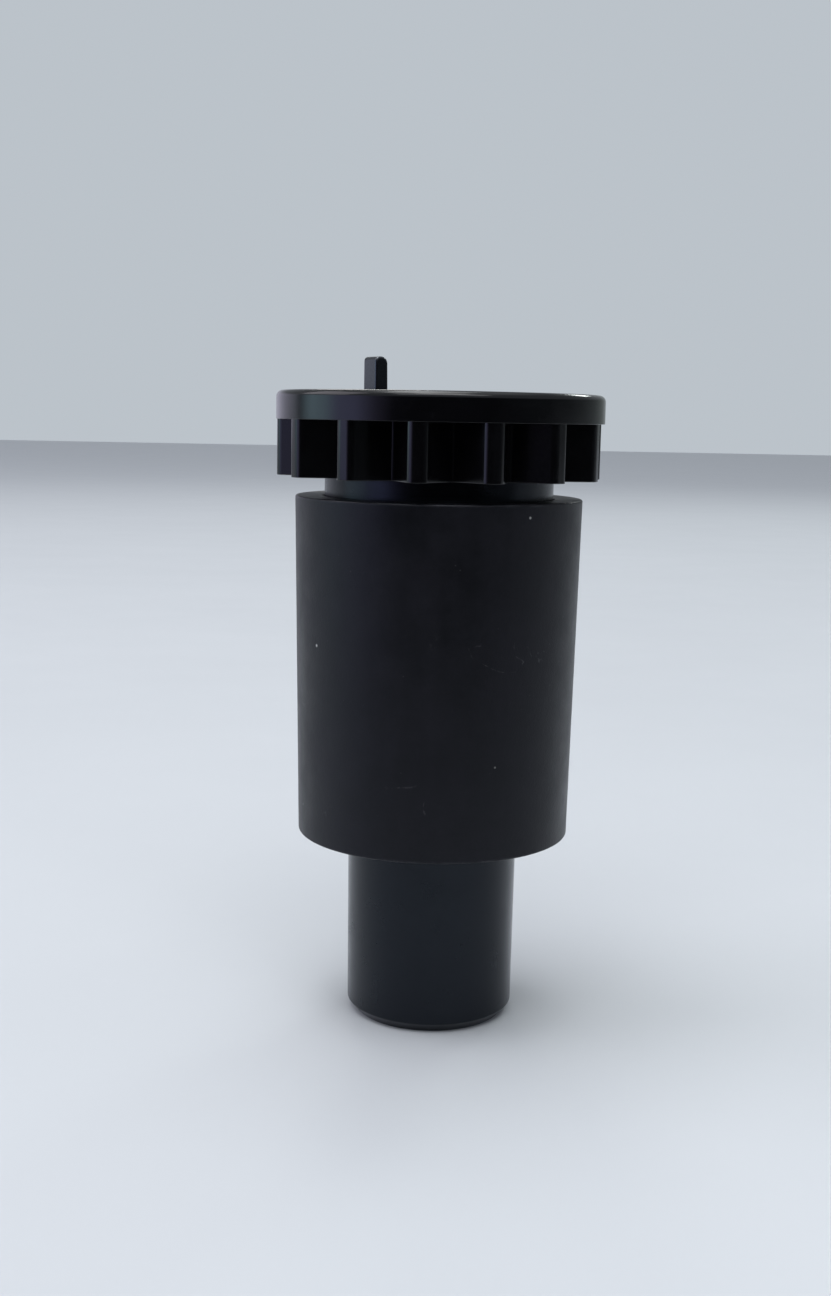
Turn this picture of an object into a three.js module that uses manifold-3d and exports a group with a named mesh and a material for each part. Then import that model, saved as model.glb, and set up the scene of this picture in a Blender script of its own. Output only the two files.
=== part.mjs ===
// Pop up sprinkler: a case with a threaded inlet, an outer sleeve, a screw cap with grip ribs,
// and a spring-returned riser that carries an adjustable nozzle and an upright pull tab.
// Millimetres, +Z up. The origin is the centre of the inlet's end face.
import * as THREE from 'three';
import { mergeVertices } from 'three/addons/utils/BufferGeometryUtils.js';
import Module from 'manifold-3d';

const wasm = await Module();
wasm.setup();

// ---- driving dimensions -------------------------------------------------------------------
const GAP = 0.3;                    // clearance between pieces that rest on each other
const TURN = 2 * Math.PI;
const QUARTER_TURN = Math.PI / 2;
const BIG_SIDES = 40;               // facets round the case, the sleeve and the cap
const SMALL_SIDES = 24;             // facets round the riser and what it carries
const FINE_SIDES = 16;              // facets round the narrow parts of the valve and the nozzle

// inlet spigot and case
const INLET_FOOT_RADIUS = 13.7;
const INLET_BOTTOM_RADIUS = 14.9;
const INLET_TOP_RADIUS = 15.15;
const INLET_CHAMFER = 1.2;
const INLET_BORE_RADIUS = 9.3;      // root of a half inch female pipe thread
const INLET_BORE_DEPTH = 15;
const INLET_MOUTH = 1.1;            // chamfer at the bore's mouth
const SEAT_BORE_RADIUS = 7;
const SEAT_TOP = 18;
const CHAMBER_RADIUS = 12.6;
const SHOULDER_BOTTOM = 36.7;
const SHOULDER_TOP = 39;
const CASE_RADIUS = 20;
const CASE_FOOT_RADIUS = 19.8;
const CASE_BORE_RADIUS = 17.4;
const NECK_TOP = 97;
const THREAD_ROOT_RADIUS = 19.7;
const CASE_TOP = 101.6;

// splines inside the case, which the guide ring slides on
const SPLINE_COUNT = 4;
const SPLINE_WIDTH = 2.2;
const SPLINE_RADIUS = 16.5;
const SPLINE_BOTTOM = 41.1;

// outer sleeve
const SLEEVE_BOTTOM = 33.4;
const SLEEVE_TOP = 93;
const SLEEVE_BOTTOM_RADIUS = 24.1;
const SLEEVE_TOP_RADIUS = 25.1;
const SLEEVE_WALL = 2.6;
const SLEEVE_FLANGE = 3;            // thickness of the web at the foot
const SLEEVE_LIP = 2.5;             // thickness of the lip at the top
const SLEEVE_RIB_COUNT = 6;
const SLEEVE_RIB_WIDTH = 2;

// cap
const RIM_RADIUS = 28.5;
const RIM_BOTTOM = 106;
const RIM_TOP = 110.9;
const RIM_EDGE = 1.2;               // rounding of the rim's top edge
const RIM_INNER_RADIUS = 26.2;
const LEDGE_HEIGHT = 108.4;
const WELL_RADIUS = 20.2;
const WELL_FLOOR = 105.8;
const PLATE_BOTTOM = 103.8;
const CAP_BORE_RADIUS = 10.8;
const SKIRT_BOTTOM = 96.4;
const SKIRT_RADIUS = 22.4;
const SKIRT_BORE_RADIUS = 21.3;
const GRIP_COUNT = 14;
const GRIP_WIDTH = 2.7;             // at a rib's outer face
const GRIP_TAPER = THREE.MathUtils.degToRad(28);   // lean of each side towards the root
const GRIP_ROOT_OVERLAP = 0.6;      // how far a rib's root reaches into the skirt
const GRIP_RADIUS = 28.3;
const GRIP_FIRST_ANGLE = THREE.MathUtils.degToRad(-8.1);  // from -Y towards +X

// cap thread, right-handed
const THREAD_PITCH = 3;
const THREAD_FOOT = 97.7;           // height of the case's ridge where it starts
const CASE_RIDGE_RADIUS = 20.85;
const CAP_RIDGE_RADIUS = 20.15;
const RIDGE_BASE = 1.5;
const RIDGE_CREST = 0.7;

// riser
const RISER_STROKE = 45;
const STEM_RADIUS = 8.5;
const STEM_BORE_RADIUS = 6.6;
const STEM_TOP = 105.8;
const CAGE_TOP = 40.8;
const SEAL_THICKNESS = 1.3;
const FLANGE_THICKNESS = 1.8;
const GUIDE_THICKNESS = 2.2;
const SPRING_WIRE_RADIUS = 0.5;
const SPRING_TURNS = 8.5;
const SPRING_RADIUS = 13.4;
const SPRING_SEAT_THICKNESS = 1.5;
const HEAD_RADIUS = 15.5;
const HEAD_THICKNESS = 1.4;

// pull tab on the riser's head
const TAB_TOP = 116.65;
const TAB_WIDTH = 4.4;              // round the head
const TAB_THICKNESS = 2.5;          // towards the axis
const TAB_DISTANCE = 12.85;
const TAB_ANGLE = THREE.MathUtils.degToRad(210);          // from +X, about +Z
const TAB_CORNER = 0.9;             // rounding of the two long top edges

// ---- materials ----------------------------------------------------------------------------
function material(color, roughness, metalness = 0) {
  return new THREE.MeshStandardMaterial({ color, roughness, metalness });
}
const satinPlastic = () => material(0x15171c, 0.4);
const mattePlastic = () => material(0x25232a, 0.85);
const glossPlastic = () => material(0x0b0c0f, 0.2);
const innerPlastic = () => material(0x1c1d20, 0.5);
const rubber = () => material(0x141414, 0.9);
const springSteel = () => material(0x9a9da1, 0.3, 1);
const screenPlastic = () => material(0xb9bcb4, 0.6);

// ---- solids -------------------------------------------------------------------------------
// Welds a geometry's shared corners, drops the slivers that are left on the axis, and
// returns it as a solid.
function solid(geometry) {
  const bare = geometry.clone();
  bare.deleteAttribute('normal');
  bare.deleteAttribute('uv');
  const welded = mergeVertices(bare, 1e-4);
  const corners = welded.index.array;
  const kept = [];
  for (let i = 0; i < corners.length; i += 3) {
    const [a, b, c] = [corners[i], corners[i + 1], corners[i + 2]];
    if (a !== b && b !== c && c !== a) kept.push(a, b, c);
  }
  return new wasm.Manifold(new wasm.Mesh({
    numProp: 3,
    vertProperties: new Float32Array(welded.attributes.position.array),
    triVerts: new Uint32Array(kept),
  }));
}

const group = new THREE.Group();

// Adds a solid to the group as one named mesh.
function addPiece(name, body, finish) {
  const surface = body.getMesh();
  const geometry = new THREE.BufferGeometry();
  geometry.setAttribute('position', new THREE.BufferAttribute(surface.vertProperties, 3));
  geometry.setIndex(new THREE.BufferAttribute(surface.triVerts, 1));
  geometry.computeVertexNormals();
  const mesh = new THREE.Mesh(geometry, finish);
  mesh.name = name;
  group.add(mesh);
}

// A turned piece from a closed outline of [radius, height] points, anticlockwise.
function turned(outline, sides) {
  const points = outline.map(([radius, height]) => new THREE.Vector2(radius, height));
  if (outline[0][0] > 0 || outline[outline.length - 1][0] > 0) points.push(points[0].clone());
  return solid(new THREE.LatheGeometry(points, sides).rotateX(QUARTER_TURN));
}

// A ring with a rectangular section.
function ring(innerRadius, outerRadius, bottom, top, sides) {
  return turned([[outerRadius, bottom], [outerRadius, top], [innerRadius, top],
    [innerRadius, bottom]], sides);
}

// A plain round bar along Z.
function bar(radius, bottom, top, sides) {
  return turned([[0, bottom], [radius, bottom], [radius, top], [0, top]], sides);
}

// A radial block: from one radius to another, turned to an angle from +X.
function radialBlock(inner, outer, width, bottom, top, angle) {
  const block = new THREE.BoxGeometry(outer - inner, width, top - bottom);
  block.translate((inner + outer) / 2, 0, (bottom + top) / 2);
  return solid(block.rotateZ(angle));
}

// A right-handed helix about Z whose frames keep pointing away from the axis.
class Helix extends THREE.Curve {
  constructor(radius, pitch, height, firstTurn, lastTurn) {
    super();
    Object.assign(this, { radius, pitch, height, firstTurn, lastTurn });
  }

  getPoint(t, target = new THREE.Vector3()) {
    const turn = THREE.MathUtils.lerp(this.firstTurn, this.lastTurn, t);
    const angle = turn * TURN;
    return target.set(this.radius * Math.cos(angle), this.radius * Math.sin(angle),
      this.height + this.pitch * turn);
  }

  getPointAt(u, target) {
    return this.getPoint(u, target);
  }

  computeFrenetFrames(segments) {
    const frames = { tangents: [], normals: [], binormals: [] };
    for (let i = 0; i <= segments; i += 1) {
      const angle = THREE.MathUtils.lerp(this.firstTurn, this.lastTurn, i / segments) * TURN;
      const normal = new THREE.Vector3(Math.cos(angle), Math.sin(angle), 0);
      const tangent = new THREE.Vector3(-Math.sin(angle) * this.radius,
        Math.cos(angle) * this.radius, this.pitch / TURN).normalize();
      frames.normals.push(normal);
      frames.tangents.push(tangent);
      frames.binormals.push(new THREE.Vector3().crossVectors(tangent, normal));
    }
    return frames;
  }
}

// A section of [outwards, along the axis] points swept along a helix.
function swept(section, helix, stepsPerTurn) {
  const steps = Math.round((helix.lastTurn - helix.firstTurn) * stepsPerTurn);
  const shape = new THREE.Shape(section.map(([x, y]) => new THREE.Vector2(x, y)));
  return solid(new THREE.ExtrudeGeometry(shape, { steps, extrudePath: helix }));
}

// A coil spring between two heights, with a wire of a few sides.
function spring(radius, wireRadius, turns, bottom, top, wireSides, stepsPerTurn) {
  const section = [];
  for (let i = 0; i < wireSides; i += 1) {
    const angle = (i / wireSides) * TURN;
    section.push([wireRadius * Math.cos(angle), wireRadius * Math.sin(angle)]);
  }
  const pitch = (top - bottom - 2 * wireRadius) / turns;
  const helix = new Helix(radius, pitch, bottom + wireRadius, 0, turns);
  return swept(section, helix, stepsPerTurn);
}

// ---- case ---------------------------------------------------------------------------------
function makeCase() {
  let body = turned([
    [INLET_FOOT_RADIUS, 0],
    [INLET_BOTTOM_RADIUS, INLET_CHAMFER],
    [INLET_TOP_RADIUS, SHOULDER_BOTTOM],
    [CASE_FOOT_RADIUS, SHOULDER_BOTTOM],
    [CASE_RADIUS, SLEEVE_TOP],
    [CASE_RADIUS, NECK_TOP],
    [THREAD_ROOT_RADIUS, NECK_TOP],
    [THREAD_ROOT_RADIUS, CASE_TOP],
    [CASE_BORE_RADIUS, CASE_TOP],
    [CASE_BORE_RADIUS, SHOULDER_TOP],
    [CHAMBER_RADIUS, SHOULDER_TOP],
    [CHAMBER_RADIUS, SEAT_TOP],
    [SEAT_BORE_RADIUS, SEAT_TOP],
    [SEAT_BORE_RADIUS, INLET_BORE_DEPTH],
    [INLET_BORE_RADIUS, INLET_BORE_DEPTH],
    [INLET_BORE_RADIUS, INLET_MOUTH],
    [INLET_BORE_RADIUS + INLET_MOUTH, 0],
  ], BIG_SIDES);
  const splineRoot = CASE_BORE_RADIUS + 0.5;
  for (let i = 0; i < SPLINE_COUNT; i += 1) {
    const angle = (i / SPLINE_COUNT) * TURN;
    body = body.add(radialBlock(SPLINE_RADIUS, splineRoot, SPLINE_WIDTH, SPLINE_BOTTOM,
      CASE_TOP - GAP, angle));
  }
  const root = THREAD_ROOT_RADIUS - 0.4;
  const reach = CASE_RIDGE_RADIUS - root;
  const ridge = [[0, -RIDGE_BASE / 2], [reach, -RIDGE_CREST / 2], [reach, RIDGE_CREST / 2],
    [0, RIDGE_BASE / 2]];
  return body.add(swept(ridge, new Helix(root, THREAD_PITCH, THREAD_FOOT, 0, 1), BIG_SIDES));
}

// ---- outer sleeve -------------------------------------------------------------------------
function makeSleeve() {
  const lipRadius = CASE_RADIUS + GAP;
  const webRadius = INLET_TOP_RADIUS + GAP;
  const webTop = SLEEVE_BOTTOM + SLEEVE_FLANGE;
  const lipBottom = SLEEVE_TOP - SLEEVE_LIP;
  const footBore = SLEEVE_BOTTOM_RADIUS - SLEEVE_WALL;
  const headBore = SLEEVE_TOP_RADIUS - SLEEVE_WALL;
  let body = turned([
    [SLEEVE_BOTTOM_RADIUS, SLEEVE_BOTTOM],
    [SLEEVE_TOP_RADIUS, SLEEVE_TOP],
    [lipRadius, SLEEVE_TOP],
    [lipRadius, lipBottom],
    [headBore, lipBottom],
    [footBore, webTop],
    [webRadius, webTop],
    [webRadius, SLEEVE_BOTTOM],
  ], BIG_SIDES);
  for (let i = 0; i < SLEEVE_RIB_COUNT; i += 1) {
    const angle = ((i + 0.5) / SLEEVE_RIB_COUNT) * TURN;
    body = body.add(radialBlock(lipRadius, footBore + 0.5, SLEEVE_RIB_WIDTH, webTop - 0.5,
      lipBottom + 0.5, angle));
  }
  return body;
}

// ---- cap ----------------------------------------------------------------------------------
// One rib of the cap's skirt, wider at its root than at its outer face.
function gripRib(angle) {
  const root = SKIRT_RADIUS - GRIP_ROOT_OVERLAP;
  const faceHalf = GRIP_WIDTH / 2;
  const rootHalf = faceHalf + (GRIP_RADIUS - root) * Math.tan(GRIP_TAPER);
  const outline = new THREE.Shape([
    new THREE.Vector2(root, -rootHalf),
    new THREE.Vector2(GRIP_RADIUS, -faceHalf),
    new THREE.Vector2(GRIP_RADIUS, faceHalf),
    new THREE.Vector2(root, rootHalf),
  ]);
  const depth = RIM_BOTTOM + GRIP_ROOT_OVERLAP - SKIRT_BOTTOM;
  const rib = new THREE.ExtrudeGeometry(outline, { depth, bevelEnabled: false });
  rib.translate(0, 0, SKIRT_BOTTOM);
  return solid(rib.rotateZ(angle));
}

function makeCap() {
  let body = turned([
    [SKIRT_RADIUS, SKIRT_BOTTOM],
    [SKIRT_RADIUS, RIM_BOTTOM],
    [RIM_RADIUS, RIM_BOTTOM],
    [RIM_RADIUS, RIM_TOP - RIM_EDGE],
    [RIM_RADIUS - 0.3 * RIM_EDGE, RIM_TOP - 0.3 * RIM_EDGE],
    [RIM_RADIUS - RIM_EDGE, RIM_TOP],
    [RIM_INNER_RADIUS, RIM_TOP],
    [RIM_INNER_RADIUS, LEDGE_HEIGHT],
    [WELL_RADIUS, LEDGE_HEIGHT],
    [WELL_RADIUS, WELL_FLOOR],
    [CAP_BORE_RADIUS, WELL_FLOOR],
    [CAP_BORE_RADIUS, PLATE_BOTTOM],
    [SKIRT_BORE_RADIUS, PLATE_BOTTOM],
    [SKIRT_BORE_RADIUS, SKIRT_BOTTOM],
  ], BIG_SIDES);
  for (let i = 0; i < GRIP_COUNT; i += 1) {
    body = body.add(gripRib(GRIP_FIRST_ANGLE + (i / GRIP_COUNT) * TURN - QUARTER_TURN));
  }
  // The cap's ridge lies half a pitch from the case's.
  const root = SKIRT_BORE_RADIUS + 0.4;
  const reach = CAP_RIDGE_RADIUS - root;
  const ridge = [[0, RIDGE_BASE / 2], [reach, RIDGE_CREST / 2], [reach, -RIDGE_CREST / 2],
    [0, -RIDGE_BASE / 2]];
  const foot = THREAD_FOOT - THREAD_PITCH / 2;
  return body.add(swept(ridge, new Helix(root, THREAD_PITCH, foot, 0.6, 1.9), BIG_SIDES));
}

// ---- check valve over the inlet -----------------------------------------------------------
const VALVE_SEAL_BOTTOM = SEAT_TOP + GAP;
const VALVE_SEAL_TOP = VALVE_SEAL_BOTTOM + 1.8;
const POPPET_BOTTOM = VALVE_SEAL_TOP + GAP;
const POPPET_TOP = POPPET_BOTTOM + 1.8;
const POPPET_RADIUS = 8.8;
const VALVE_STEM_RADIUS = 2;
const VALVE_STEM_TOP = 36;
const HUB_RADIUS = 3.9;
const HUB_BOTTOM = 30;
const CAGE_BOTTOM = SHOULDER_TOP + GAP;

function makeValveCage() {
  const hubBore = VALVE_STEM_RADIUS + GAP;
  let body = turned([
    [HUB_RADIUS, HUB_BOTTOM],
    [HUB_RADIUS, CAGE_BOTTOM],
    [CASE_BORE_RADIUS - 0.5, CAGE_BOTTOM],
    [CASE_BORE_RADIUS - 0.5, CAGE_TOP],
    [hubBore, CAGE_TOP],
    [hubBore, HUB_BOTTOM],
  ], SMALL_SIDES);
  const windowCount = 6;
  const windowRadius = 2.4;
  const windowDistance = 8.6;
  for (let i = 0; i < windowCount; i += 1) {
    const angle = (i / windowCount) * TURN;
    const hole = bar(windowRadius, CAGE_BOTTOM - 1, CAGE_TOP + 1, 12);
    body = body.subtract(hole.translate(windowDistance * Math.cos(angle),
      windowDistance * Math.sin(angle), 0));
  }
  return body;
}

function makeValvePoppet() {
  return turned([
    [0, POPPET_BOTTOM],
    [POPPET_RADIUS, POPPET_BOTTOM],
    [POPPET_RADIUS, POPPET_TOP],
    [VALVE_STEM_RADIUS, POPPET_TOP],
    [VALVE_STEM_RADIUS, VALVE_STEM_TOP],
    [0, VALVE_STEM_TOP],
  ], FINE_SIDES);
}

function makeValveSeal() {
  return ring(3, POPPET_RADIUS + 0.4, VALVE_SEAL_BOTTOM, VALVE_SEAL_TOP, SMALL_SIDES);
}

function makeValveSpring() {
  const wire = 0.4;
  return spring(5.4, wire, 4, POPPET_TOP + GAP, CAGE_BOTTOM - GAP, 5, 12);
}

// ---- riser --------------------------------------------------------------------------------
const RISER_SEAL_BOTTOM = CAGE_TOP + GAP;
const FLANGE_BOTTOM = RISER_SEAL_BOTTOM + SEAL_THICKNESS + GAP;
const FLANGE_TOP = FLANGE_BOTTOM + FLANGE_THICKNESS;
const GUIDE_BOTTOM = FLANGE_TOP + GAP;
const GUIDE_TOP = GUIDE_BOTTOM + GUIDE_THICKNESS;
const FLANGE_RADIUS = 15.6;
const SEAT_WASHER_TOP = PLATE_BOTTOM - GAP;
const SEAT_WASHER_BOTTOM = SEAT_WASHER_TOP - SPRING_SEAT_THICKNESS;
const SPRING_BOTTOM = GUIDE_TOP + GAP;
const SPRING_TOP = SEAT_WASHER_BOTTOM - GAP;
const HEAD_BOTTOM = WELL_FLOOR + GAP;
const HEAD_TOP = HEAD_BOTTOM + HEAD_THICKNESS;
const coilRoom = SPRING_TOP - SPRING_BOTTOM - RISER_STROKE;
if (coilRoom < 2 * SPRING_WIRE_RADIUS * SPRING_TURNS) {
  throw new Error('the spring would be solid before the riser is up');
}

function makeRiserStem() {
  return turned([
    [FLANGE_RADIUS, FLANGE_BOTTOM],
    [FLANGE_RADIUS, FLANGE_TOP],
    [STEM_RADIUS, FLANGE_TOP],
    [STEM_RADIUS, STEM_TOP],
    [STEM_BORE_RADIUS, STEM_TOP],
    [STEM_BORE_RADIUS, FLANGE_BOTTOM],
  ], SMALL_SIDES);
}

// The guide ring has a notch for each spline in the case.
function makeGuideRing() {
  let body = ring(STEM_RADIUS + GAP, CASE_BORE_RADIUS - 0.4, GUIDE_BOTTOM, GUIDE_TOP, BIG_SIDES);
  for (let i = 0; i < SPLINE_COUNT; i += 1) {
    const angle = (i / SPLINE_COUNT) * TURN;
    body = body.subtract(radialBlock(SPLINE_RADIUS - 0.5, CASE_RADIUS, SPLINE_WIDTH + 2 * GAP,
      GUIDE_BOTTOM - 1, GUIDE_TOP + 1, angle));
  }
  return body;
}

function makeRiserHead() {
  const lipWidth = 0.8;
  const lipHeight = 0.8;
  return turned([
    [HEAD_RADIUS, HEAD_BOTTOM],
    [HEAD_RADIUS, HEAD_TOP + lipHeight],
    [HEAD_RADIUS - lipWidth, HEAD_TOP + lipHeight],
    [HEAD_RADIUS - lipWidth, HEAD_TOP],
    [STEM_BORE_RADIUS, HEAD_TOP],
    [STEM_BORE_RADIUS, HEAD_BOTTOM],
  ], SMALL_SIDES);
}

// The tab is an upright post on the head, rounded over along its two long top edges.
function makePullTab() {
  const half = TAB_THICKNESS / 2;
  const foot = HEAD_TOP + GAP;
  const outline = new THREE.Shape();
  outline.moveTo(-half, foot);
  outline.lineTo(half, foot);
  outline.lineTo(half, TAB_TOP - TAB_CORNER);
  outline.absarc(half - TAB_CORNER, TAB_TOP - TAB_CORNER, TAB_CORNER, 0, QUARTER_TURN);
  outline.absarc(-half + TAB_CORNER, TAB_TOP - TAB_CORNER, TAB_CORNER, QUARTER_TURN, Math.PI);
  const post = new THREE.ExtrudeGeometry(outline, {
    depth: TAB_WIDTH, bevelEnabled: false, curveSegments: 5,
  });
  // Stand the outline up with its width towards the axis, then move it out to its place.
  post.translate(0, 0, -TAB_WIDTH / 2).rotateX(QUARTER_TURN);
  post.translate(TAB_DISTANCE, 0, 0).rotateZ(TAB_ANGLE);
  return solid(post);
}

// ---- nozzle -------------------------------------------------------------------------------
const NOZZLE_FOOT = 96;
const NOZZLE_NECK_RADIUS = 6.3;
const NOZZLE_RADIUS = 8.6;
const NOZZLE_FLANGE_BOTTOM = HEAD_TOP + GAP;
const NOZZLE_FLANGE_TOP = NOZZLE_FLANGE_BOTTOM + 0.7;
const NOZZLE_BORE_RADIUS = 4.2;
const THROAT_BOTTOM = 104;
const THROAT_RADIUS = 3.4;
const POST_RADIUS = 3;
const POST_BOTTOM = 104.6;
const COLLAR_BOTTOM = NOZZLE_FLANGE_TOP + GAP;
const COLLAR_TOP = COLLAR_BOTTOM + 0.9;
const DEFLECTOR_BOTTOM = COLLAR_TOP + GAP;
const DEFLECTOR_TOP = 110.8;
const SCREW_SHANK_RADIUS = 1.1;
const SCREW_HEAD_RADIUS = 1.6;
const SCREW_SIDES = 12;

function makeNozzleBody() {
  return turned([
    [NOZZLE_NECK_RADIUS, NOZZLE_FOOT],
    [NOZZLE_NECK_RADIUS, NOZZLE_FLANGE_BOTTOM],
    [NOZZLE_RADIUS, NOZZLE_FLANGE_BOTTOM],
    [NOZZLE_RADIUS, NOZZLE_FLANGE_TOP],
    [THROAT_RADIUS, NOZZLE_FLANGE_TOP],
    [THROAT_RADIUS, THROAT_BOTTOM],
    [NOZZLE_BORE_RADIUS, THROAT_BOTTOM],
    [NOZZLE_BORE_RADIUS, NOZZLE_FOOT],
  ], SMALL_SIDES);
}

// The collar's edge is knurled with shallow scallops.
function makeArcCollar() {
  let body = ring(POST_RADIUS + 2 * GAP, NOZZLE_RADIUS - 0.2, COLLAR_BOTTOM, COLLAR_TOP,
    SMALL_SIDES);
  const notchCount = 12;
  for (let i = 0; i < notchCount; i += 1) {
    const angle = ((i + 0.5) / notchCount) * TURN;
    body = body.subtract(radialBlock(NOZZLE_RADIUS - 0.6, NOZZLE_RADIUS + 1, 0.9,
      COLLAR_BOTTOM - 1, COLLAR_TOP + 1, angle));
  }
  return body;
}

function makeDeflector() {
  const plateRadius = NOZZLE_RADIUS - 0.4;
  const shankBore = SCREW_SHANK_RADIUS + 0.4;
  const headBore = SCREW_HEAD_RADIUS + GAP;
  return turned([
    [POST_RADIUS, POST_BOTTOM],
    [POST_RADIUS, DEFLECTOR_BOTTOM],
    [plateRadius, DEFLECTOR_BOTTOM],
    [plateRadius, DEFLECTOR_TOP - 0.3],
    [plateRadius - 0.3, DEFLECTOR_TOP],
    [headBore, DEFLECTOR_TOP],
    [headBore, DEFLECTOR_BOTTOM],
    [shankBore, DEFLECTOR_BOTTOM],
    [shankBore, POST_BOTTOM],
  ], SMALL_SIDES);
}

function makeRadiusScrew() {
  const headBottom = DEFLECTOR_BOTTOM + GAP;
  const headTop = DEFLECTOR_TOP - 0.05;
  const shankFoot = 98.3;
  const body = turned([
    [0, shankFoot],
    [SCREW_SHANK_RADIUS, shankFoot],
    [SCREW_SHANK_RADIUS, headBottom],
    [SCREW_HEAD_RADIUS, headBottom],
    [SCREW_HEAD_RADIUS, headTop],
    [0, headTop],
  ], SCREW_SIDES);
  const slotWidth = 0.5;
  const slotDepth = 0.3;
  return body.subtract(radialBlock(-2, 2, slotWidth, headTop - slotDepth, headTop + 1, 0));
}

function makeThrottlePlug() {
  return ring(SCREW_SHANK_RADIUS + GAP, THROAT_RADIUS + 0.2, 99, 101.2, FINE_SIDES);
}

// ---- filter -------------------------------------------------------------------------------
const FILTER_BOTTOM = 70;
const FILTER_TOP = NOZZLE_FOOT - GAP;

// A basket with a floor, a rim and four posts between its windows.
function makeFilterFrame() {
  const rimHeight = 1;
  const floor = 1.2;
  const body = turned([
    [0, FILTER_BOTTOM],
    [5.2, FILTER_BOTTOM],
    [5.8, FILTER_TOP - rimHeight],
    [NOZZLE_NECK_RADIUS, FILTER_TOP - rimHeight],
    [NOZZLE_NECK_RADIUS, FILTER_TOP],
    [5, FILTER_TOP],
    [4.6, FILTER_BOTTOM + floor],
    [0, FILTER_BOTTOM + floor],
  ], FINE_SIDES);
  const windowWidth = 5;
  const windowBottom = FILTER_BOTTOM + 3;
  const windowTop = FILTER_TOP - 4;
  const across = radialBlock(-7, 7, windowWidth, windowBottom, windowTop, 0);
  const along = radialBlock(-7, 7, windowWidth, windowBottom, windowTop, QUARTER_TURN);
  return body.subtract(across).subtract(along);
}

function makeFilterScreen() {
  return ring(3.9, 4.2, FILTER_BOTTOM + 1.5, FILTER_TOP - 0.5, FINE_SIDES);
}

// ---- assembly -----------------------------------------------------------------------------
addPiece('case', makeCase(), satinPlastic());
addPiece('outer_sleeve', makeSleeve(), mattePlastic());
addPiece('cap', makeCap(), glossPlastic());
addPiece('wiper_seal', ring(STEM_RADIUS + 0.2, CAP_BORE_RADIUS - GAP, PLATE_BOTTOM + 0.1,
  WELL_FLOOR - 0.1, SMALL_SIDES), rubber());
addPiece('cap_gasket', ring(CASE_BORE_RADIUS + 0.2, THREAD_ROOT_RADIUS, CASE_TOP + GAP,
  PLATE_BOTTOM - GAP, SMALL_SIDES), rubber());
addPiece('spring_seat', ring(STEM_RADIUS + GAP, CASE_BORE_RADIUS - 0.4, SEAT_WASHER_BOTTOM,
  SEAT_WASHER_TOP, SMALL_SIDES), innerPlastic());
addPiece('riser_spring', spring(SPRING_RADIUS, SPRING_WIRE_RADIUS, SPRING_TURNS, SPRING_BOTTOM,
  SPRING_TOP, 6, 16), springSteel());
addPiece('guide_ring', makeGuideRing(), innerPlastic());
addPiece('riser_seal', ring(STEM_RADIUS + 0.5, FLANGE_RADIUS, RISER_SEAL_BOTTOM,
  RISER_SEAL_BOTTOM + SEAL_THICKNESS, SMALL_SIDES), rubber());
addPiece('riser_stem', makeRiserStem(), innerPlastic());
addPiece('riser_head', makeRiserHead(), satinPlastic());
addPiece('pull_tab', makePullTab(), satinPlastic());
addPiece('nozzle_body', makeNozzleBody(), innerPlastic());
addPiece('arc_collar', makeArcCollar(), satinPlastic());
addPiece('deflector', makeDeflector(), satinPlastic());
addPiece('radius_screw', makeRadiusScrew(), springSteel());
addPiece('throttle_plug', makeThrottlePlug(), innerPlastic());
addPiece('filter_frame', makeFilterFrame(), innerPlastic());
addPiece('filter_screen', makeFilterScreen(), screenPlastic());
addPiece('valve_cage', makeValveCage(), innerPlastic());
addPiece('valve_poppet', makeValvePoppet(), innerPlastic());
addPiece('valve_seal', makeValveSeal(), rubber());
addPiece('valve_spring', makeValveSpring(), springSteel());

export default group;
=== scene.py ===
import math

import bmesh
import bpy
from mathutils import Euler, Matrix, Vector


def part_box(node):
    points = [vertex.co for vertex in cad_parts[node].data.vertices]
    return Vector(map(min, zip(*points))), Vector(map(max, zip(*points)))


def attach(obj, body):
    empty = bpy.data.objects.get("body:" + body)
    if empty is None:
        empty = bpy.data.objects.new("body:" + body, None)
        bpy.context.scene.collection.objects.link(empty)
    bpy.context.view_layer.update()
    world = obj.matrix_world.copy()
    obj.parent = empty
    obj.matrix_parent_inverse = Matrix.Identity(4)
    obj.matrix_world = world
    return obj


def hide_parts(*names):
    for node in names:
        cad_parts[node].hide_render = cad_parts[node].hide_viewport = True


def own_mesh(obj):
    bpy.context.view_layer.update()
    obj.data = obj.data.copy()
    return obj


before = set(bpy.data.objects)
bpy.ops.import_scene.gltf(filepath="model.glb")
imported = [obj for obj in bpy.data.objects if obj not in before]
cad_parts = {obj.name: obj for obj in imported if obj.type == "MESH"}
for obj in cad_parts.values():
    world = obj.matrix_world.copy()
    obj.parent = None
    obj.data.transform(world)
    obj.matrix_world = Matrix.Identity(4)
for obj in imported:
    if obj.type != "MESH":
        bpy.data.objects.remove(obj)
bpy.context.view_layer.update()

MM = 0.001
TURN = 2 * math.pi
QUARTER = math.pi / 2
ROUND = 160              # facets round the case and the sleeve
CAP_ROUND = 224          # facets round the cap
HEAD_ROUND = 128         # facets round the riser's head
RING_ROUND = 96          # facets round the stem and the inner rings
NOZZLE_ROUND = 72        # facets round the nozzle
SCREW_ROUND = 48         # facets round the adjusting screw
MERGE = 1e-5             # millimetres; points closer than this become one
ON_AXIS = 1e-6           # millimetres; a point this near the axis is on it
FILLET_SHARE = 0.49      # the most of a straight run that one fillet may take
FADED = 0.15             # the share of a thread's depth that is left at its very end
MIX_INPUTS = (6, 7)      # the colour inputs of a Mix node
MIX_OUTPUT = 2           # its colour output


# ---- reading the frame ---------------------------------------------------------------------
def span(node):
    """A node's outer radius, lowest height and highest height at rest, in millimetres."""
    low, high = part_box(node)
    return high.x / MM, low.z / MM, high.z / MM


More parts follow.
